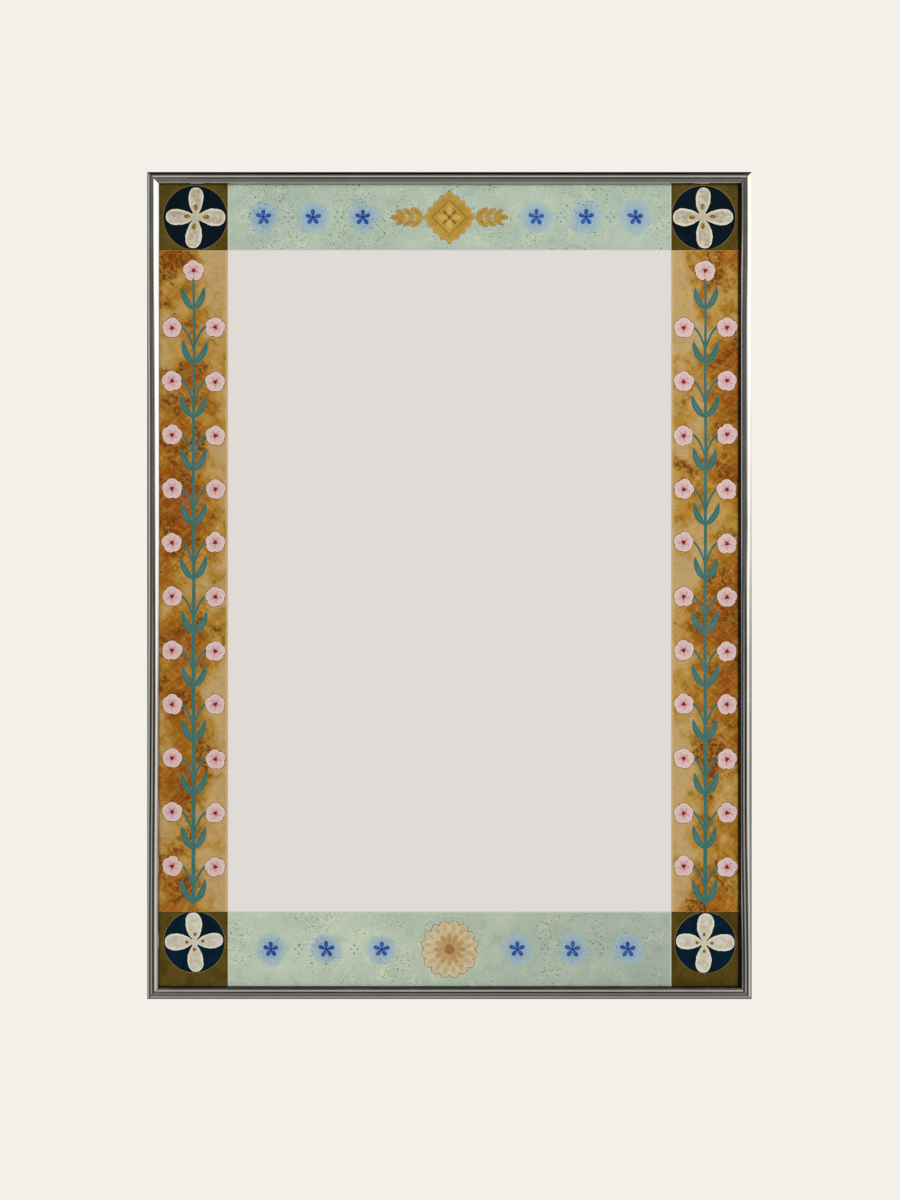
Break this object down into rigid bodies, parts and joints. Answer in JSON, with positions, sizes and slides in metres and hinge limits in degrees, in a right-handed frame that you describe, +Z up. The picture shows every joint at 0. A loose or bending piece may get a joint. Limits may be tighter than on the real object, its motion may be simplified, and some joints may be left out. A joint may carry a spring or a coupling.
{
  "type": "wall mirror",
  "caption": "Tall rectangular wall mirror in a narrow polished metal frame, with a border of painted glass panels and two swinging D-rings on the back.",
  "frame": {"origin": "middle of the frame's width and height, on the wall plane that the rear bumpers touch", "axes": "+X to the right and +Z up for a viewer of the front, +Y into the wall"},
  "size_m": [0.731, 0.033, 1],
  "materials": {
    "frame_metal": "mirror polished",
    "mirror_glass": "clear",
    "sage_glass": "gloss, painted and speckled",
    "ochre_glass": "gloss, painted and clouded",
    "olive_glass": "gloss, painted",
    "foam_tape": "matte",
    "fibreboard": "matte",
    "block_rubber": "matte",
    "spring_steel": "satin",
    "zinc_steel": "satin",
    "black_steel": "satin",
    "hanger_brass": "satin",
    "screw_zinc": "satin",
    "bumper_rubber": "matte"
  },
  "bodies": {
    "mirror": {"backboard": "fibreboard", "corner_key_bottom_left": "zinc_steel", "corner_key_bottom_right": "zinc_steel", "corner_key_top_left": "zinc_steel", "corner_key_top_right": "zinc_steel", "corner_tile_bottom_left": "olive_glass", "corner_tile_bottom_right": "olive_glass", "corner_tile_tape": "foam_tape", "corner_tile_top_left": "olive_glass", "corner_tile_top_right": "olive_glass", "hanger_screws_left": "screw_zinc", "hanger_screws_right": "screw_zinc", "hanger_strap_left": "hanger_brass", "hanger_strap_right": "hanger_brass", "key_shim_bottom_left": "zinc_steel", "key_shim_bottom_right": "zinc_steel", "key_shim_top_left": "zinc_steel", "key_shim_top_right": "zinc_steel", "mirror_plate": "mirror_glass", "mirror_tape": "foam_tape", "panel_bottom": "sage_glass", "panel_left": "ochre_glass", "panel_right": "ochre_glass", "panel_tape": "foam_tape", "panel_top": "sage_glass", "rail_bottom": "frame_metal", "rail_left": "frame_metal", "rail_right": "frame_metal", "rail_top": "frame_metal", "set_screws_bottom_left": "black_steel", "set_screws_bottom_right": "black_steel", "set_screws_top_left": "black_steel", "set_screws_top_right": "black_steel", "setting_blocks": "block_rubber", "spring_clips_bottom": "spring_steel", "spring_clips_left": "spring_steel", "spring_clips_right": "spring_steel", "spring_clips_top": "spring_steel", "wall_bumpers": "bumper_rubber"},
    "ring_left": {"d_ring_left": "hanger_brass"},
    "ring_right": {"d_ring_right": "hanger_brass"}
  },
  "joints": [
    {"name": "d_ring_left_swing", "type": "hinge", "parent": "mirror", "child": "ring_left", "pos_m": [-0.2955, -0.00832, 0.33], "axis": [1, 0, 0], "range_deg": [0, 180]},
    {"name": "d_ring_right_swing", "type": "hinge", "parent": "mirror", "child": "ring_right", "pos_m": [0.2955, -0.00832, 0.33], "axis": [1, 0, 0], "range_deg": [0, 180]}
  ]
}
